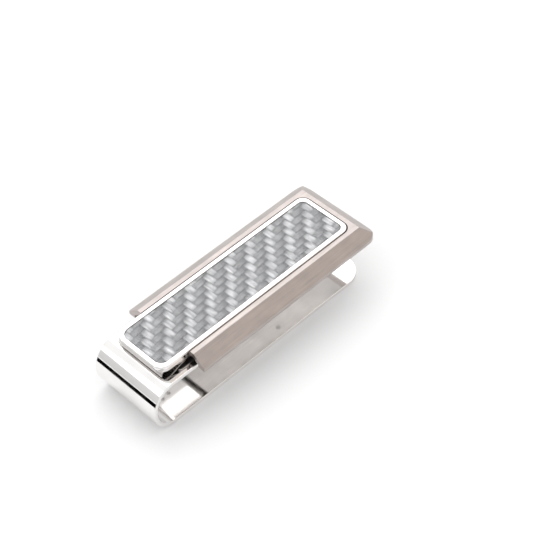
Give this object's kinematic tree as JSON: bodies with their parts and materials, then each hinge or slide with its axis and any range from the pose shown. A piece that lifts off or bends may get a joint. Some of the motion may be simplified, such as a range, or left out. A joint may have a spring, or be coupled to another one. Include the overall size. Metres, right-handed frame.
{
  "type": "money clip",
  "caption": "Steel money clip: a bent spring strap carries a tilting lever with a woven inlay and a bevelled frame that slides along it.",
  "frame": {"origin": "middle of the bounding box at floor level, under the lower jaw", "axes": "+X from the bend to the free end, +Z from the lower jaw to the inlay, +Y to the left seen from the bend"},
  "size_m": [0.062, 0.0222, 0.0149],
  "materials": {
    "polished_steel": "mirror-polished stainless steel",
    "brushed_frame": "satin brushed stainless steel, lines along the bevels",
    "brushed_plate": "satin stainless sheet",
    "spring_steel": "tempered spring steel",
    "fasteners": "satin steel",
    "bonding_film": "dark adhesive film",
    "woven_fibre": "silver twill-woven fibre in clear resin",
    "clear_resin": "clear gloss resin"
  },
  "bodies": {
    "strap": {"spring_strap": "polished_steel", "hinge_saddle": "spring_steel", "saddle_rivet_left": "fasteners", "saddle_rivet_right": "fasteners", "leaf_spring": "spring_steel", "leaf_rivet_left": "fasteners", "leaf_rivet_right": "fasteners", "pivot_pin": "fasteners"},
    "lever": {"lever_carrier": "brushed_plate", "inlay_tray": "polished_steel", "bonding_film": "bonding_film", "woven_inlay": "woven_fibre", "clear_coat": "clear_resin", "carrier_screw_front": "fasteners", "carrier_screw_middle": "fasteners", "carrier_screw_rear": "fasteners", "drag_leaf": "spring_steel"},
    "slide": {"slide_frame": "brushed_frame", "slide_jaw_plate": "brushed_frame", "jaw_screw_near_left": "fasteners", "jaw_screw_near_right": "fasteners", "jaw_screw_far_left": "fasteners", "jaw_screw_far_right": "fasteners", "slide_stop_pin": "fasteners"}
  },
  "joints": [
    {"name": "lever_tilt", "type": "hinge", "parent": "strap", "child": "lever", "pos_m": [-0.01651, 0, 0.01285], "axis": [0, -1, 0], "range_deg": [-12.5, 7.5], "stiffness_Nm_per_rad": 1.5, "deforming": ["leaf_spring"]},
    {"name": "frame_slide", "type": "slide", "parent": "lever", "child": "slide", "axis": [1, 0, 0], "range_m": [0, 0.0055]}
  ]
}
